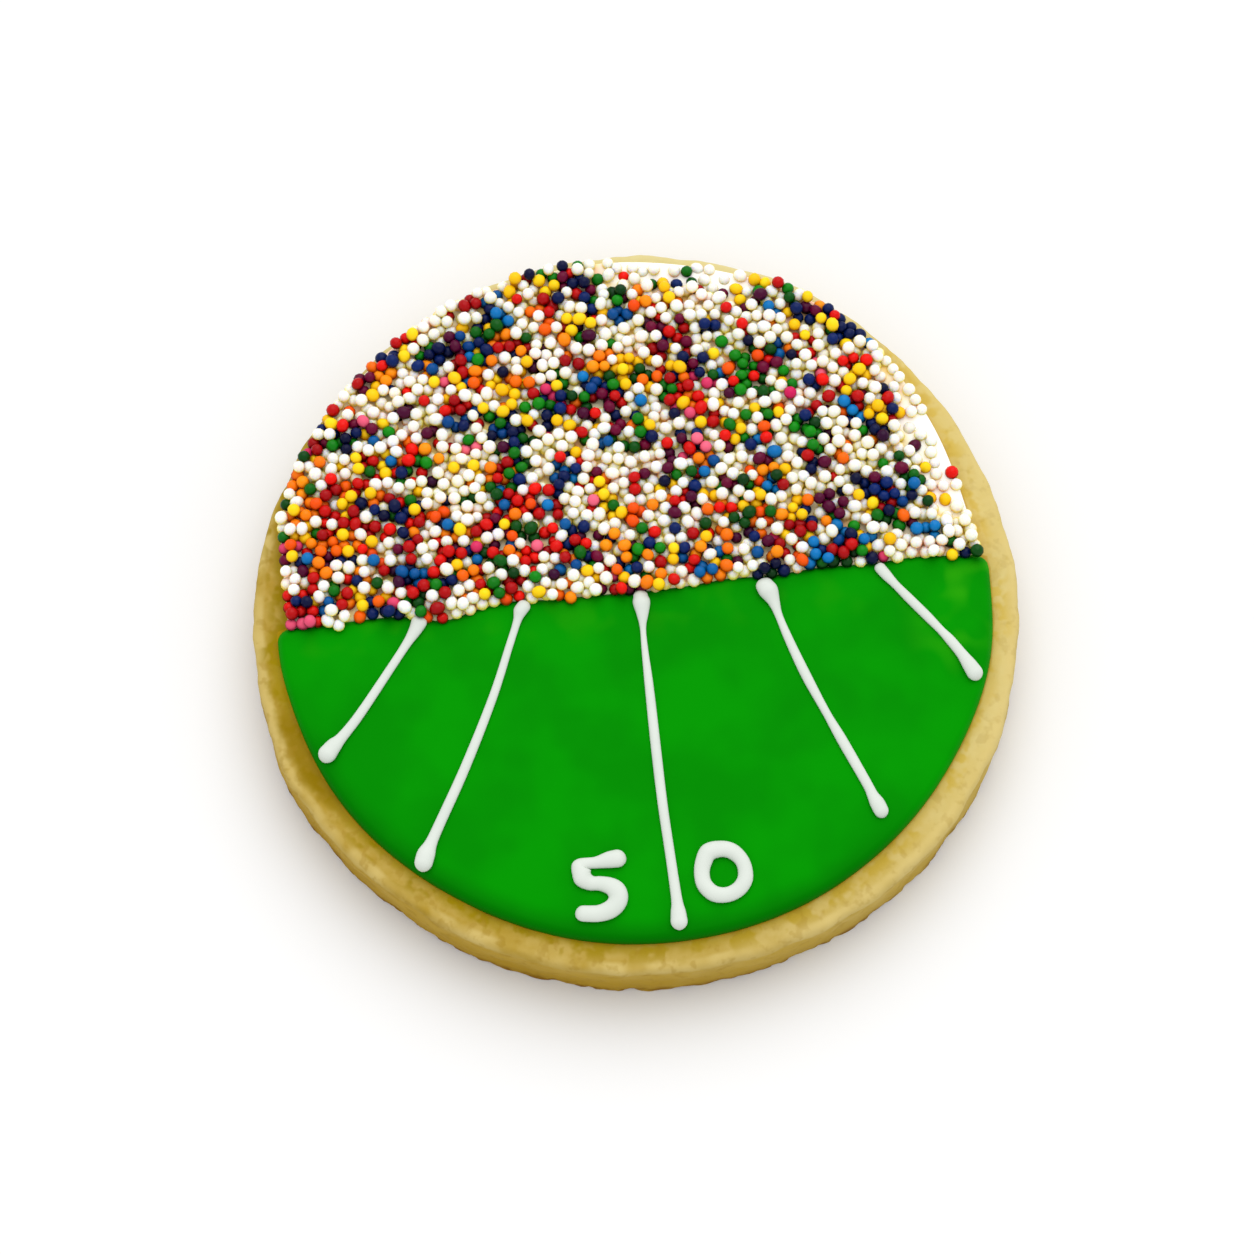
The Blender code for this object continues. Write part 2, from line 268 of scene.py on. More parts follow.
def dough_finish():
    """Pale golden dough, mottled and browned near the icing and along its foot."""
    dough = Finish("baked_dough", {"Specular IOR Level": 0.08})
    from_icing, down_edge = dough.attribute("from_icing"), dough.attribute("down_edge")
    x, y, z = (dough.axis(name) for name in "XYZ")
    pale = dough.step(x * 0.9 + y * 0.4, -34 * MM, 34 * MM)
    golden = 1 - pale * 0.55

    def toned(front_left, back_right):
        """The dough is deeper in colour at its front left, and paler at its back right."""
        return dough.mix(pale, seen(*front_left), seen(*back_right))

    colour = toned((181, 149, 52), (220, 197, 120))
    clouds = dough.step(dough.noise(3.0 * MM, 3, 0.6, 1.0), 0.36, 0.66)
    colour = dough.mix(clouds * 0.55, colour, toned((204, 176, 96), (226, 207, 140)))
    # The wall, darker low down, and a painted highlight along the crest above it
    wall = dough.step(down_edge + dough.noise(2.0 * MM, 2, 0.5, 14.0) * 0.8, 1.0, 1.5)
    streaks = dough.step(dough.noise(3.5 * MM, 2, 0.5, 8.0), 0.30, 0.70)
    colour = dough.mix(wall * (0.4 + streaks * 0.4), colour, toned((190, 154, 44), (200, 170, 70)))
    low = 1 - dough.step(z, 1.2 * MM, 5.5 * MM)
    colour = dough.mix(low * 0.6, colour, toned((168, 130, 8), (194, 164, 62)))
    crest_highlight = dough.step(down_edge, -0.6, -0.1) * (1 - dough.step(down_edge, 0.3, 0.9))
    patches = dough.step(dough.noise(4.0 * MM, 2, 0.5, 9.0), 0.34, 0.62)
    # Painted highlight where the rounded crest faces the light, in patches
    colour = dough.mix(crest_highlight * patches * 0.6, colour, seen(222, 199, 126))
    # The rim beside the icing: spots, a golden band that wanders, and a thin line
    spots = dough.step(dough.noise(2.1 * MM, 2, 0.55, 7.0), 0.47, 0.58)
    near_icing = 1 - dough.step(from_icing, 0.7, 2.5)
    spot = toned((156, 130, 0), (210, 176, 54))
    colour = dough.mix(spots * near_icing * (0.95 - pale * 0.35), colour, spot)
    left = 1 - dough.step(x, -31 * MM, -27 * MM)
    left = left * dough.step(y, -21 * MM, -16 * MM) * (1 - dough.step(y, -10 * MM, -5 * MM))
    wander = dough.noise(7 * MM, 1, 0.5, 21.0) * 2.4 - 1.2 + left * 1.1
    blurred = from_icing + dough.noise(1.6 * MM, 2, 0.5, 11.0) * 1.4
    band = 1 - dough.step(blurred - wander, 0.9, 2.1)
    colour = dough.mix(band * golden * 0.8, colour, toned((160, 134, 0), (204, 168, 52)))
    colour = dough.mix(left * band * 0.5, colour, seen(134, 100, 0))
    line = 1 - dough.step(from_icing + dough.noise(1.2 * MM, 1, 0.5, 5.0) * 0.5, 0.25, 0.5)
    colour = dough.mix(line * 0.6, colour, seen(196, 150, 16))
    # Flecks all over, the browned foot, and the pale rim at the back
    flecks = dough.step(dough.noise(1.1 * MM, 2, 0.55, 12.0), 0.52, 0.66)
    colour = dough.mix(flecks * golden * 0.4, colour, seen(164, 130, 34))
    browned = dough.step(dough.noise(1.3 * MM, 2, 0.5, 3.0), 0.32, 0.60)
    foot = 1 - dough.step(z, 0.4 * MM, 1.8 * MM)
    colour = dough.mix(browned * foot * 0.9, colour, seen(130, 88, 0))
    far = dough.step(y, 22 * MM, 33 * MM) * dough.step(z, 4 * MM, 6.6 * MM)
    colour = dough.mix(far * 0.75, colour, seen(228, 216, 158))
    crumb = dough.noise(0.6 * MM, 2, 0.5, 2.0) * 0.35 + dough.noise(1.6 * MM, 2, 0.5, 4.0)
    dough.bump(crumb, 0.08 * MM)
    return dough.surface(Base_Color=colour, Roughness=0.72 + clouds * 0.14)


def green_finish():
    """Smooth set icing, with painted shade along its front edge and lighter in patches on the right."""
    green = Finish("green_icing", {"Specular IOR Level": 0.15, "Specular Tint": (0.1, 1, 0.08, 1)})
    inside = green.attribute("inside")
    x, y = green.axis("X"), green.axis("Y")
    tone = green.noise(8 * MM, 2, 0.5, 1.0)
    colour = green.mix(green.step(tone, 0.35, 0.65), seen(0, 136, 0), seen(1, 149, 0))
    # Painted shade where the rounded edge at the front slopes away from the light
    edge = 1 - green.step(inside, 0.0, 2.8)
    shaded_front = 1 - green.step(y + x * 0.3, -30 * MM, -10 * MM)
    colour = green.mix(edge * shaded_front * 0.8, colour, seen(0, 104, 0))
    patch = green.step(green.noise(3.5 * MM, 1, 0.5, 6.0), 0.50, 0.70)
    seam_side = green.step(y, -5 * MM, -1.5 * MM)
    right_side = green.step(x, 25 * MM, 31 * MM) * green.step(y, -14 * MM, -6 * MM)
    colour = green.mix(patch * right_side * 0.6, colour, seen(48, 170, 8))
    colour = green.mix(patch * seam_side * 0.14, colour, seen(60, 168, 6))
    relief = green.noise(5 * MM, 1, 0.5, 3.0) + green.noise(0.5 * MM, 2, 0.5, 4.0) * 0.03
    green.bump(relief, 0.10 * MM)
    return green.surface(Base_Color=colour, Roughness=0.46 + tone * 0.1)


def white_finish():
    """White icing, clean where it is bare, and stained by the sprinkles where they cover it."""
    white = Finish("white_icing", {"Specular IOR Level": 0.2})
    bare = white.step(white.attribute("bareness") + white.noise(2 * MM, 2, 0.5, 1.0) * 0.3, 0.4, 0.8)
    cream = white.mix(white.noise(3 * MM, 1, 0.5, 2.0), srgb(240, 224, 160), srgb(252, 248, 232))
    yellow = white.step(white.noise(2.2 * MM, 1, 0.5, 5.0), 0.50, 0.64)
    cream = white.mix(yellow * 0.7, cream, srgb(248, 206, 50))
    pink = white.step(white.noise(2.4 * MM, 1, 0.5, 9.0), 0.54, 0.68)
    cream = white.mix(pink * 0.55, cream, srgb(250, 176, 158))
    colour = white.mix(bare, cream, srgb(251, 250, 246))
    white.bump(white.noise(1.2 * MM, 2, 0.5, 3.0), 0.08 * MM)
    return white.surface(Base_Color=colour, Roughness=0.42 + white.noise(0.8 * MM, 1) * 0.14)


def piping_finish():
    """White icing with a faint green tint, partly a painted reflection of the green icing below, a
    little uneven.
    """
    piped = Finish("piped_icing", {"Specular IOR Level": 0.25})
    tone = piped.noise(2.5 * MM, 2, 0.5, 1.0)
    # The green in these whites is partly a painted reflection of the green icing
    colour = piped.mix(tone, seen(216, 225, 215), seen(230, 235, 227))
    piped.bump(piped.noise(1.6 * MM, 2, 0.5, 2.0), 0.03 * MM)
    return piped.surface(Base_Color=colour, Roughness=0.38 + tone * 0.1)


def bead_finish(name, foot, deep, light):
    """Sugar sprinkles between two colours, each with a tint of its own, and painted shade in a foot
    colour on its lower side and where others cover it.
    """
    constants = {"Specular IOR Level": 0.14}
    deepest = 0.2
    if name == "white":
        constants |= {
            "Subsurface Weight": 1.0, "Subsurface Scale": 1.0 * MM, "Subsurface Radius": (1, 0.8, 0.45),
        }
        deepest = 0.05
    sugar = Finish("sugar_" + name, constants)
    # White sprinkles get a warm painted shade, yellow or pink in patches
    if name == "white":
        shade_hue = sugar.step(sugar.noise(2.5 * MM, 1, 0.5, 3.0), 0.50, 0.66)
        foot = sugar.mix(shade_hue, foot, srgb(246, 178, 130))
    colour = sugar.mix(sugar.attribute("tint"), deep, light)
    # Painted shade: the foot colour on the lower side of each sprinkle, and on those that others cover
    colour = sugar.mix(sugar.step(sugar.attribute("shade_depth"), -0.62, deepest), colour, foot)
    grain = sugar.noise(0.35 * MM, 2, 0.5, 1.0)
    sugar.bump(grain, 0.012 * MM)
    return sugar.surface(Base_Color=colour, Roughness=0.2 + grain * 0.12)


def floor_finish():
    """Matt and nearly white."""
    floor = Finish("pale_floor", {"Specular IOR Level": 0.0, "Roughness": 0.9})
    tone = floor.noise(60 * MM, 1)
    return floor.surface(Base_Color=floor.mix(tone, seen(252, 252, 252), seen(254, 254, 254)))


def add_piece(name, bm, finish, nodes=()):
    """Makes a finished piece that rides on the cookie, and hides the solids it stands for."""
    mesh = bpy.data.meshes.new(name)
    bm.to_mesh(mesh)
    bm.free()
    mesh.shade_smooth()
    mesh.materials.append(finish)
    piece = bpy.data.objects.new(name, mesh)
    bpy.context.scene.collection.objects.link(piece)
    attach(piece, ROOT)
    if nodes:
        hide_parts(*nodes)
    return piece


def direction(angle):
    """A step of length 1 at angle, from +X towards +Y."""
    return Vector((math.cos(angle), math.sin(angle)))


def smooth_step(value, low, high):
    share = min(max((value - low) / (high - low), 0.0), 1.0)
    return share * share * (3 - 2 * share)


def spread(angle):
    """How far the cut edge spread past its circle: a slight oval with three slight lobes."""
    oval = OVAL_DEPTH * math.cos(2 * (angle - OVAL_TOWARDS))
    return oval + LOBE_DEPTH * math.cos(3 * (angle - LOBE_TOWARDS))


def seam(x):
    """Where the green icing ends and the white begins, along Y."""
    wave = SEAM_WAVE_DEPTH * math.sin(math.tau * x / SEAM_WAVE_LENGTH)
    swells = sum(rise * math.exp(-(((x / MM - at) / width) ** 2)) for rise, at, width in SEAM_SWELLS)
    return SEAM_Y + wave + swells * MM


def bulge(angle, bulges):
    """How far an outline swells at angle."""
    total = 0.0
    for rise, at, width in bulges:
        turn = (math.degrees(angle) - at + 180) % 360 - 180
        total += rise * math.exp(-((turn / width) ** 2))
    return total * MM


def green_reach(angle):
    """Radius of the green flood's edge about its own centre."""
    wave = GREEN_WAVE_DEPTH * math.cos(3 * (angle - GREEN_WAVE_TOWARDS))
    return GREEN_RADIUS + wave + bulge(angle, GREEN_BULGES)


def green_edge(angle):
    """The round edge of the green flood."""
    return GREEN_CENTRE + green_reach(angle) * direction(angle)


def white_reach(angle):
    """Radius of the white flood's edge about its own centre."""
    return WHITE_RADIUS + bulge(angle, WHITE_BULGES)


def white_edge(angle):
    """The round edge of the white flood, which ends nearly straight on the left."""
    point = WHITE_CENTRE + white_reach(angle) * direction(angle)
    point.x = max(point.x, WHITE_STRAIGHT_END_X)
    return point


def inside_green(place):
    """How far place lies inside the green flood's outline."""
    offset = place - GREEN_CENTRE
    reach = green_reach(math.atan2(offset.y, offset.x))
    return min(reach - offset.length, seam(place.x) - place.y)


def inside_white_edge(place):
    """How far place lies inside the white flood's outer edge, whatever its side of the seam."""
    offset = place - WHITE_CENTRE
    reach = white_reach(math.atan2(offset.y, offset.x))
    return min(reach - offset.length, place.x - WHITE_STRAIGHT_END_X)


def inside_white(place):
    """How far place lies inside the white flood's outline."""
    return min(inside_white_edge(place), place.y - seam(place.x))


def bareness(place, wider=1.0):
    """1 where the white icing shows bare along its edge, and 0 where sprinkles cover it.

    wider makes the strips that many times wider.
    """
    inside = inside_white_edge(place) / wider
    if inside > BARE_REACH:
        return 0.0
    angle = math.degrees(math.atan2(place.y - WHITE_CENTRE.y, place.x - WHITE_CENTRE.x))
    bare = 0.0
    for begin, end, share, width in BARE_STRIPS:
        begun = smooth_step(angle, begin - BEGIN_BLUR, begin + BEGIN_BLUR)
        ended = smooth_step(angle, end - END_BLUR, end + END_BLUR)
        along = begun * (1 - ended)
        within = 1 - smooth_step(inside, BARE_INNER * width * MM, BARE_OUTER * width * MM)
        bare = max(bare, share * along * within)
    return bare


def dough_section():
    """Half section of the dough, from the middle of its top, over the edge and down to its foot."""
    points = [Vector((0, 0, DOUGH_HEIGHT))]
    rim_end = DOUGH_RADIUS - EDGE_ROUND
    for step in range(RIM_STEPS):
        along = HIDDEN_RADIUS + (rim_end - HIDDEN_RADIUS) * step / RIM_STEPS
        points.append(Vector((along, 0, DOUGH_HEIGHT)))
    for step in range(EDGE_STEPS):
        turn = math.radians(90 - 90 * step / EDGE_STEPS)
        offset = Vector((math.cos(turn), 0, math.sin(turn) - 1)) * EDGE_ROUND
        points.append(Vector((rim_end, 0, DOUGH_HEIGHT)) + offset)
    for step in range(WALL_STEPS):
        height = DOUGH_HEIGHT - EDGE_ROUND - (DOUGH_HEIGHT - EDGE_ROUND - FOOT_ROUND) * step / WALL_STEPS
        points.append(Vector((DOUGH_RADIUS, 0, height)))
    for step in range(FOOT_STEPS + 1):
        turn = math.radians(-90 * step / FOOT_STEPS)
        offset = Vector((math.cos(turn) - 1, 0, math.sin(turn) + 1)) * FOOT_ROUND
        points.append(Vector((DOUGH_RADIUS, 0, 0)) + offset)
    points.append(Vector((0, 0, 0)))
    return points


def baked_dough(finish):
    """The cookie itself, with its crags, crumbs and bitten foot."""
    bm = bmesh.new()
    section = [bm.verts.new(point) for point in dough_section()]
    edges = [bm.edges.new(pair) for pair in zip(section, section[1:])]
    bmesh.ops.spin(
        bm, geom=section + edges, axis=(0, 0, 1), cent=(0, 0, 0),
        angle=math.tau, steps=DOUGH_STEPS, use_merge=True,
    )
    bmesh.ops.remove_doubles(bm, verts=bm.verts, dist=SAME_PLACE)
    bmesh.ops.recalc_face_normals(bm, faces=bm.faces)
    from_icing = bm.verts.layers.float.new("from_icing")
    down_edge = bm.verts.layers.float.new("down_edge")
    for vertex in bm.verts:
        inwards = max(DOUGH_RADIUS - EDGE_ROUND - vertex.co.xy.length, 0)
        vertex[down_edge] = (DOUGH_HEIGHT - vertex.co.z - inwards) / MM
    wall = [vertex for vertex in bm.verts if vertex.co.xy.length > HIDDEN_RADIUS + SUNK]
    for vertex in wall:
        place = vertex.co.copy()
        outwards = place.xy.normalized()
        angle = math.atan2(outwards.y, outwards.x)
        push = spread(angle) + CRAG_DEPTH * noise.noise(place / CRAG_LENGTH)
        for depth, length in CRUMBS:
            push += depth * noise.noise(place / length)
        push += FOOT_FLARE * (1 - smooth_step(place.z, 0, FOOT_FLARE_HEIGHT))
        bite = max(noise.noise(place / FOOT_BITE_LENGTH) + FOOT_BITE_MORE, 0.0)
        push -= FOOT_BITE * bite * (1 - smooth_step(place.z, 0, FOOT_BITE_HEIGHT))
        vertex.co.xy += outwards * push
        lump = noise.noise(place / RIM_LUMP_LENGTH + RIM_LUMP_SEED)
        vertex.co.z += RIM_LUMP * lump * smooth_step(place.z, DOUGH_HEIGHT * RIM_LUMP_FROM, DOUGH_HEIGHT)
    for axis in (0, 1):
        places = [vertex.co[axis] for vertex in wall]
        middle = (max(places) + min(places)) / 2
        for vertex in wall:
            vertex.co[axis] -= middle
    for vertex in wall:
        outwards = vertex.co.xy.normalized()
        vertex.co.xy += outwards * bulge(math.atan2(outwards.y, outwards.x), DOUGH_BULGES)
    for vertex in bm.verts:
        place = vertex.co.xy
        if place.y < seam(place.x):
            offset = place - GREEN_CENTRE
            outside = offset.length - green_reach(math.atan2(offset.y, offset.x))
        else:
            outside = -inside_white_edge(place)
        vertex[from_icing] = outside / MM
    return add_piece("baked_dough", bm, finish, ["biscuit"])


def half_outline(round_edge, towards, seam_gap):
    """Outline of one flood: its round edge from right to left, then its seam back to the right.

    towards is 1 for the half towards +Y, and -1 for the other.
    """
    outline = []
    for step in range(ARC_STEPS + 1):
        angle = CORNER_ANGLE + (math.pi - 2 * CORNER_ANGLE) * step / ARC_STEPS
        outline.append(round_edge(towards * angle))
    right, left = outline[0].x, outline[-1].x
    corner = []
    for step in range(1, CORNER_STEPS):
        turn = math.radians(90 * step / CORNER_STEPS)
        corner.append(CORNER_ROUND * Vector((1 - math.cos(turn), 1 - math.sin(turn))))
    for tuck in corner:
        outline.append(Vector((left + tuck.x, seam(left) + towards * (seam_gap + tuck.y))))
    begin, end = left + CORNER_ROUND, right - CORNER_ROUND
    for step in range(SEAM_STEPS + 1):
        x = begin + (end - begin) * step / SEAM_STEPS
        outline.append(Vector((x, seam(x) + towards * seam_gap)))
    for tuck in reversed(corner):
        outline.append(Vector((right - tuck.x, seam(right) + towards * (seam_gap + tuck.y))))
    return outline


def flood(outline, top, edge_round, pillow, inside, fields):
    """A slab of set icing with a rounded edge, whose top falls gently by pillow near its edge.

    inside tells how far a place lies inside, and fields names what each vertex keeps.
    """
    base = DOUGH_HEIGHT - SUNK
    bm = bmesh.new()
    foot = bm.faces.new([bm.verts.new((point.x, point.y, base)) for point in outline])
    grown = bmesh.ops.extrude_face_region(bm, geom=[foot], use_keep_orig=True)
    raised = {part for part in grown["geom"] if isinstance(part, bmesh.types.BMVert)}
    bmesh.ops.translate(bm, verts=list(raised), vec=(0, 0, top - base))
    rim = [edge for edge in bm.edges if raised.issuperset(edge.verts)]
    bmesh.ops.bevel(
        bm, geom=rim, offset=edge_round, segments=ROUND_STEPS, profile=0.5,
        affect="EDGES", material=-1, clamp_overlap=True,
    )
    bmesh.ops.recalc_face_normals(bm, faces=bm.faces)
    lines = math.ceil(DOUGH_RADIUS / GRID_PITCH)
    for line in range(-lines, lines + 1):
        for across in (Vector((1, 0, 0)), Vector((0, 1, 0))):
            bmesh.ops.bisect_plane(
                bm, geom=bm.verts[:] + bm.edges[:] + bm.faces[:], dist=SUNK / 100,
                plane_co=across * line * GRID_PITCH, plane_no=across,
            )
    layers = {name: bm.verts.layers.float.new(name) for name in fields}
    for vertex in bm.verts:
        place = vertex.co.xy
        rise = (vertex.co.z - base) / (top - base)
        fall = 1 - smooth_step(inside(place), 0, FALL_WIDTH)
        wave = noise.noise(vertex.co / FLOOD_WAVE_LENGTH) * FLOOD_WAVE_DEPTH
        vertex.co.z -= rise * (pillow * fall + wave)
        for name, field in fields.items():
            vertex[layers[name]] = field(place)
    return bm


def smooth_path(stations, closed):
    """Stations on a smooth curve through the given ones, each a Vector of x, y and half width."""
    count = len(stations)
    path = []
    for index in range(count if closed else count - 1):
        if closed:
            around = [stations[(index + shift) % count] for shift in (-1, 0, 1, 2)]
        else:
            around = [stations[min(max(index + shift, 0), count - 1)] for shift in (-1, 0, 1, 2)]
        before, start, end, after = around
        for step in range(PATH_STEPS):
            share = step / PATH_STEPS
            bend = (
                start * 2
                + (end - before) * share
                + (before * 2 - start * 5 + end * 4 - after) * share**2
                + (start * 3 - before - end * 3 + after) * share**3
            )
            path.append(bend / 2)
    if not closed:
        path.append(stations[-1])
    return path


def round_ends(path):
    """Adds the stations that round off both ends of a bead."""
    for end, beside in ((path[0], path[1]), (path[-1], path[-2])):
        heading = (end.xy - beside.xy).normalized()
        cap = []
        for step in range(1, END_STEPS + 1):
            turn = math.radians(END_TURN * step / END_STEPS)
            past = end.xy + heading * end.z * math.sin(turn)
            cap.append(Vector((past.x, past.y, end.z * math.cos(turn))))
        if end is path[0]:
            path = cap[::-1] + path
        else:
            path = path + cap
    return path


def pipe(name, path, closed, finish, node):
    """Pipes a bead of icing along path, in mm, onto the green icing."""
    bm = bmesh.new()
    ring = bmesh.ops.create_circle(bm, segments=PIPE_SIDES, radius=1.0)["verts"]
    edges = list(bm.edges)
    count = len(path)
    placed = Matrix.Identity(4)
    first = None
    for index, station in enumerate(path):
        # Headings are taken a few stations apart, so that a bead doesn't fold where it bends sharply
        before, after = index - PATH_STEPS, index + PATH_STEPS
        if closed:
            before, after = path[before % count], path[after % count]
        else:
            before, after = path[max(before, 0)], path[min(after, count - 1)]
        heading = (after.xy - before.xy).normalized()
        side = Vector((heading.y, -heading.x, 0))
        half = station.z * MM
        lift = GREEN_TOP + PIPE_LIFT * half
        target = Matrix((
            (side.x * half, 0, -heading.x, station.x * MM),
            (side.y * half, 0, -heading.y, station.y * MM),
            (0, half * (PIPE_RISE - PIPE_LIFT), 0, lift),
            (0, 0, 0, 1),
        ))
        if index:
            grown = bmesh.ops.extrude_edge_only(bm, edges=edges)["geom"]
            ring = [part for part in grown if isinstance(part, bmesh.types.BMVert)]
            edges = [part for part in grown if isinstance(part, bmesh.types.BMEdge)]
        bmesh.ops.transform(bm, matrix=target @ placed.inverted(), verts=ring)
        placed = target
        if first is None:
            first = list(edges)
    if closed:
        bmesh.ops.bridge_loops(bm, edges=first + edges)
    else:
        bmesh.ops.holes_fill(bm, edges=bm.edges, sides=PIPE_SIDES)
    bmesh.ops.recalc_face_normals(bm, faces=bm.faces)
    return add_piece(name, bm, finish, [node])


# Stations of the piping, as x, y and half width in mm: each line's run from the seam to the front
FIELD_LINES = {
    "far_left": ((-21.8, -0.45, 0.80), (-22.3, -1.3, 0.64), (-23.2, -2.5, 0.46),
                 (-24.8, -4.6, 0.43), (-28.4, -9.25, 0.48), (-30.3, -11.35, 0.55),
                 (-31.1, -12.1, 0.77), (-31.87, -12.95, 0.92)),
    "left": ((-11.35, 0.1, 0.69), (-11.75, -0.4, 0.67), (-12.15, -1.4, 0.41),
             (-13.1, -3.7, 0.38), (-15.3, -9.0, 0.43), (-18.6, -15.7, 0.49),
             (-21.7, -21.3, 0.53), (-22.6, -22.95, 0.61), (-23.15, -23.95, 0.88),
             (-23.5, -24.85, 0.90)),
    "middle": ((0.3, -0.15, 0.75), (0.32, -0.8, 0.87), (0.28, -2.0, 0.59), (0.18, -3.4, 0.31),
               (0.12, -5.6, 0.33), (0.13, -9.5, 0.44), (0.1, -15.5, 0.49), (0.12, -21.5, 0.48),
               (0.3, -27.0, 0.48), (0.42, -31.0, 0.54), (0.43, -32.3, 0.73), (0.41, -33.3, 0.83)),
    "right": ((12.7, -0.4, 0.93), (13.0, -1.0, 0.97), (13.4, -2.2, 0.59), (13.7, -3.6, 0.39),
              (14.4, -6.2, 0.44), (15.6, -10.0, 0.50), (17.1, -14.0, 0.41), (18.3, -17.0, 0.52),
              (20.1, -21.5, 0.50), (20.5, -22.7, 0.55), (20.85, -23.6, 0.73), (21.15, -24.45, 0.73)),
    "far_right": ((24.3, 0.3, 0.57), (24.75, -0.4, 0.55), (25.6, -1.6, 0.43), (26.7, -3.1, 0.47),
                  (28.2, -5.1, 0.48), (29.4, -6.75, 0.42), (30.2, -7.9, 0.51), (31.1, -9.4, 0.55),
                  (31.7, -10.6, 0.73), (32.12, -11.5, 0.82)),
}
FIVE_STROKE = (
    (-4.86, -26.49, 0.90), (-5.75, -26.53, 0.82), (-6.93, -26.65, 0.60), (-7.82, -26.65, 0.60),
    (-8.44, -26.88, 0.86), (-8.42, -27.50, 0.94), (-8.30, -28.14, 0.92), (-7.62, -28.64, 0.74),
    (-6.80, -28.76, 0.73), (-5.90, -29.08, 0.84), (-5.31, -29.60, 0.95), (-5.15, -30.34, 0.95),
    (-5.48, -31.02, 0.93), (-6.16, -31.49, 0.90), (-7.11, -31.70, 0.84), (-7.92, -31.66, 0.82),
    (-8.67, -31.55, 0.80),
)
ZERO_STROKE = (
    (7.32, -28.85, 0.72), (7.05, -27.84, 0.72), (6.30, -26.98, 0.80), (5.3, -26.62, 0.82),
    (4.02, -26.80, 0.90), (3.40, -27.77, 0.82), (3.12, -28.85, 0.76), (3.27, -30.02, 0.78),
    (4.08, -30.96, 0.80), (5.3, -31.19, 0.76), (6.42, -30.79, 0.76), (7.17, -29.93, 0.76),
)


def piping(finish):
    """The five field lines and the two numerals."""
    for name, stations in FIELD_LINES.items():
        path = round_ends(smooth_path([Vector(station) for station in stations], False))
        pipe("piped_line_" + name, path, False, finish, "field_line_" + name)
    path = round_ends(smooth_path([Vector(station) for station in FIVE_STROKE], False))
    pipe("piped_five", path, False, finish, "numeral_five")
    path = smooth_path([Vector(station) for station in ZERO_STROKE], True)
    pipe("piped_zero", path, True, finish, "numeral_zero")


# Sprinkle colours: how common each is, how much commoner it gets towards the right, and the colour
# of its painted shade at the foot, its deepest and its lightest colour
SUGARS = {
    "white": (0.47, 0.1, srgb(248, 222, 100), srgb(238, 235, 224), srgb(244, 243, 238)),
    "red": (0.155, -0.5, srgb(84, 0, 2), srgb(146, 0, 10), srgb(238, 16, 2)),
    "orange": (0.08, -0.7, srgb(170, 52, 0), srgb(238, 72, 2), srgb(252, 148, 8)),
    "yellow": (0.092, -0.4, srgb(196, 128, 0), srgb(244, 186, 2), srgb(252, 216, 20)),
    "green": (0.105, 0.1, srgb(0, 22, 2), srgb(2, 50, 10), srgb(10, 132, 12)),
    "blue": (0.035, 0.35, srgb(0, 28, 64), srgb(0, 58, 124), srgb(6, 118, 188)),
    "navy": (0.09, 0.35, srgb(0, 2, 20), srgb(2, 5, 44), srgb(2, 34, 100)),
    "plum": (0.08, 0.2, srgb(12, 0, 6), srgb(42, 0, 42), srgb(108, 0, 46)),
    "pink": (0.019, 0.0, srgb(120, 6, 50), srgb(202, 4, 84), srgb(246, 112, 138)),
}


class Heap:
    """The sprinkles poured so far, kept by cell so that neighbours are found quickly."""

    def __init__(self):
        self.cells = {}

    def near(self, place):
        column, row = int(place.x // CELL), int(place.y // CELL)
        for i in (column - 1, column, column + 1):
            for j in (row - 1, row, row + 1):
                yield from self.cells.get((i, j), ())

    def add(self, bead):
        place = bead["place"]
        self.cells.setdefault((int(place.x // CELL), int(place.y // CELL)), []).append(bead)

    def height(self, place, radius, sunk):
        """Height at which a sprinkle's middle rests over place."""
        inside = inside_white_edge(place)
        over_seam = place.y - seam(place.x)
        if inside < EDGE_ROOM or over_seam < -SEAM_OVERLAP:
            return math.inf
        out = max(SHOULDER - inside, 0)
        ground = WHITE_TOP - SHOULDER + math.sqrt(SHOULDER**2 - out**2)
        height = ground + radius * (1 - sunk)
        for other in self.near(place):
            reach = (radius + other["radius"]) * TOUCH
            gap = (place - other["place"].xy).length_squared
            if gap < reach * reach:
                height = max(height, other["place"].z + math.sqrt(reach * reach - gap))
        return height

    def settle(self, place, radius, sunk):
        """Lets a sprinkle roll downhill from place, and gives where it comes to rest."""
        height = self.height(place, radius, sunk)
        ways = [direction(math.radians(360 / ROLL_WAYS * turn)) for turn in range(ROLL_WAYS)]
        stride = radius * ROLL_FIRST
        while stride > radius * ROLL_LAST:
            tries = [place + way * stride for way in ways]
            heights = [self.height(point, radius, sunk) for point in tries]
            lowest = min(heights)
            if lowest < height:
                place, height = tries[heights.index(lowest)], lowest
            else:
                stride /= 2
        return Vector((*place, height))


def weight_of(name, place):
    """How likely a colour is at place: each has its own patches, and white those beside bare icing."""
    common, lean = SUGARS[name][:2]
    index = list(SUGARS).index(name)
    patch = noise.noise(Vector((*place, index * PATCH_SHIFT * MM)) / PATCH_LENGTH)
    weight = common * math.exp(PATCH_FORCE * patch + lean * place.x / DOUGH_RADIUS)
    if name == "white":
        weight *= 1 + WHITER * bareness(place, WHITER_WIDTH)
    return weight


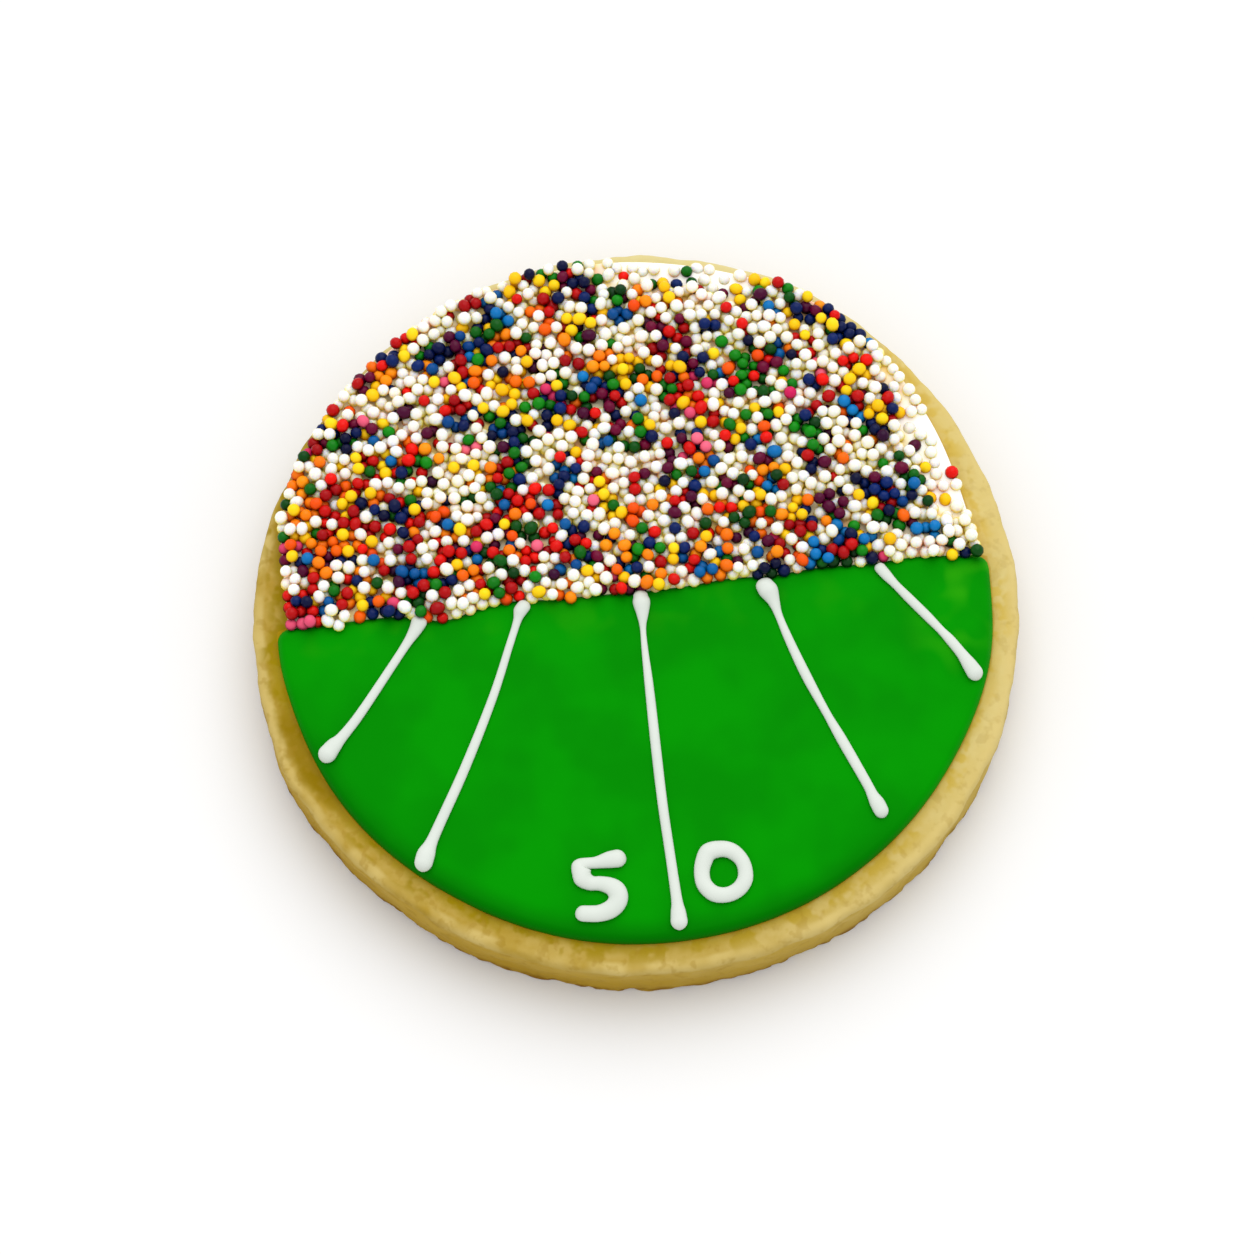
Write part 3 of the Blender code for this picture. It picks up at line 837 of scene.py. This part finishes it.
def drop(heap, draw, start, rolls):
    """Drops one sprinkle at start, and keeps it where it rests unless the cover there is full."""
    radius = draw.triangular(BEAD_LEAST, BEAD_MOST, BEAD_USUAL)
    chance, pick, shade = draw.random(), draw.random(), draw.random()
    sunk = BEAD_SUNK + BARE_SUNK * bareness(start) * pick
    if rolls:
        place = heap.settle(start, radius, sunk)
    else:
        place = Vector((*start, heap.height(start, radius, sunk)))
    bare = bareness(place.xy)
    perched = (place.z - WHITE_TOP) / radius - (1 - sunk)
    missed = chance < bare * BARE_MISSED
    rolled_off = perched > PERCHED_LEAST and chance > PERCHED_SHARE
    if missed or rolled_off or perched > PERCHED_MOST:
        return
    beside = [
        other for other in heap.near(place.xy)
        if (other["place"] - place).length < (other["radius"] + radius) * COPY_REACH
    ]
    if beside and pick < COPY_SHARE:
        copied = beside[int(shade * len(beside))]
        name, tint = copied["colour"], copied["tint"]
    else:
        weights = [weight_of(name, place.xy) for name in SUGARS]
        name = draw.choices(list(SUGARS), weights)[0]
        tint = shade
    heap.add({"place": place, "radius": radius, "colour": name, "tint": tint})


def pour():
    """Lays a row of sprinkles along the seam, and pours the rest."""
    draw = random.Random(POUR_SEED)
    heap = Heap()
    for x, past, name in STRAYS:
        x *= MM
        place = Vector((x, seam(x) - past * MM, GREEN_TOP + BEAD_USUAL * (1 - BEAD_SUNK)))
        heap.add({"place": place, "radius": BEAD_USUAL, "colour": name, "tint": STRAY_TINT})
    x = WHITE_STRAIGHT_END_X + ROW_BEGIN
    while x < WHITE_CENTRE.x + WHITE_RADIUS - ROW_END:
        drop(heap, draw, Vector((x, seam(x) + draw.uniform(*ROW_SCATTER) * MM)), False)
        x += draw.uniform(*ROW_GAP) * MM
    for _ in range(POUR_TRIES):
        start = Vector((draw.uniform(-1, 1), draw.uniform(0, 1))) * DOUGH_RADIUS
        if inside_white(start) > EDGE_ROOM:
            drop(heap, draw, start, True)
    return heap


def covered(heap, bead):
    """How much of a sprinkle the ones above it hide, from 0 to 1, which sets how much painted shade it
    gets.
    """
    hidden = 0.0
    for other in heap.near(bead["place"].xy):
        gap = (other["place"].xy - bead["place"].xy).length / (other["radius"] + bead["radius"])
        if gap < 1 and other["place"].z > bead["place"].z + COVER_RISE:
            hidden += 1 - gap
    return min(hidden, 1.0)


def sprinkles():
    """Makes the poured sprinkles, as one piece for each colour."""
    draw = random.Random(POUR_SEED + 1)
    one = bpy.data.meshes.new("one_sprinkle")
    heap = pour()
    poured = {name: [] for name in SUGARS}
    for cell in heap.cells.values():
        for bead in cell:
            poured[bead["colour"]].append(bead)
    for name, beads in poured.items():
        bm = bmesh.new()
        for bead in beads:
            # Painted shade: covered sprinkles, and the lower side of each, take the darker foot colour
            shaded = PAINTED_SHADE_UNDER_COVER * covered(heap, bead)
            stretch = 1 + STRETCH_MOST * draw.random() ** STRETCH_RARITY
            wide = Matrix.Diagonal((stretch, 1, 1, 1))
            turn = Matrix.Rotation(draw.uniform(0, math.tau), 4, "Z")
            roll = Matrix.Rotation(draw.uniform(0, math.pi), 4, "X")
            ball = bmesh.new()
            tint = ball.verts.layers.float.new("tint")
            shade_depth = ball.verts.layers.float.new("shade_depth")
            bmesh.ops.create_icosphere(
                ball, subdivisions=2, radius=bead["radius"],
                matrix=Matrix.Translation(bead["place"]) @ turn @ wide @ roll,
            )
            for vertex in ball.verts:
                vertex[tint] = bead["tint"]
                vertex[shade_depth] = (bead["place"].z - vertex.co.z) / bead["radius"] + shaded
            ball.to_mesh(one)
            ball.free()
            bm.from_mesh(one)
        add_piece("sprinkles_" + name, bm, bead_finish(name, *SUGARS[name][2:]))
        print("sprinkles", name, len(beads))
    bpy.data.meshes.remove(one)


def floor():
    """A plain floor that reaches far past the cookie."""
    bm = bmesh.new()
    bmesh.ops.create_grid(bm, x_segments=1, y_segments=1, size=FLOOR_HALF)
    mesh = bpy.data.meshes.new("pale_floor")
    bm.to_mesh(mesh)
    bm.free()
    mesh.materials.append(floor_finish())
    piece = bpy.data.objects.new("pale_floor", mesh)
    bpy.context.scene.collection.objects.link(piece)


def studio():
    """Even pale surroundings, and one broad soft light from above, behind and to the right."""
    world = bpy.data.worlds.new("pale_studio")
    world.use_nodes = True
    sky = world.node_tree.nodes["Background"]
    sky.inputs["Color"].default_value = (1, 1, 1, 1)
    sky.inputs["Strength"].default_value = SKY
    bpy.context.scene.world = world
    turn, rise = KEY_AZIMUTH, KEY_ELEVATION
    back = Vector((math.sin(turn) * math.cos(rise), -math.cos(turn) * math.cos(rise), math.sin(rise)))
    lamp = bpy.data.lights.new("key_light", "SUN")
    lamp.angle = KEY_SPREAD
    lamp.energy = KEY_STRENGTH
    item = bpy.data.objects.new("key_light", lamp)
    item.location = back
    item.rotation_mode = "QUATERNION"
    item.rotation_quaternion = back.to_track_quat("Z", "Y")
    bpy.context.scene.collection.objects.link(item)
    bpy.context.scene.view_settings.view_transform = "Standard"


def camera():
    """Looks from where the photograph was taken, with the target at its pixel in the photograph."""
    lens = bpy.data.cameras.new("camera")
    lens.sensor_width = SENSOR
    lens.lens = SENSOR * PHOTO_FOCAL / PHOTO_SIDE
    lens.clip_start = NEAREST
    item = bpy.data.objects.new("camera", lens)
    rise = math.cos(CAMERA_ELEVATION)
    back = Vector((
        math.sin(CAMERA_AZIMUTH) * rise, -math.cos(CAMERA_AZIMUTH) * rise, math.sin(CAMERA_ELEVATION),
    ))
    right = Vector((math.cos(CAMERA_AZIMUTH), math.sin(CAMERA_AZIMUTH), 0))
    up = back.cross(right)
    across = (TARGET_PIXEL[0] - PHOTO_SIDE / 2) / PHOTO_FOCAL * CAMERA_DISTANCE
    below = (TARGET_PIXEL[1] - PHOTO_SIDE / 2) / PHOTO_FOCAL * CAMERA_DISTANCE
    item.location = TARGET + back * CAMERA_DISTANCE
    aim = TARGET - right * across + up * below
    away = (item.location - aim).normalized()
    level = (right - away * right.dot(away)).normalized()
    item.rotation_mode = "QUATERNION"
    item.rotation_quaternion = Matrix((level, away.cross(level), away)).transposed().to_quaternion()
    bpy.context.scene.collection.objects.link(item)
    bpy.context.scene.camera = item


camera()
studio()
floor()
baked_dough(dough_finish())
add_piece(
    "green_flood",
    flood(
        half_outline(green_edge, -1, 0.0), GREEN_TOP, GREEN_EDGE_ROUND, GREEN_FALL, inside_green,
        {"inside": lambda place: inside_green(place) / MM},
    ),
    green_finish(), ["green_icing"],
)
add_piece(
    "white_flood",
    flood(
        half_outline(white_edge, 1, -WHITE_TUCK), WHITE_TOP, WHITE_EDGE_ROUND, 0.0, inside_white,
        {"bareness": bareness},
    ),
    white_finish(), ["sprinkled_icing"],
)
piping(piping_finish())
sprinkles()
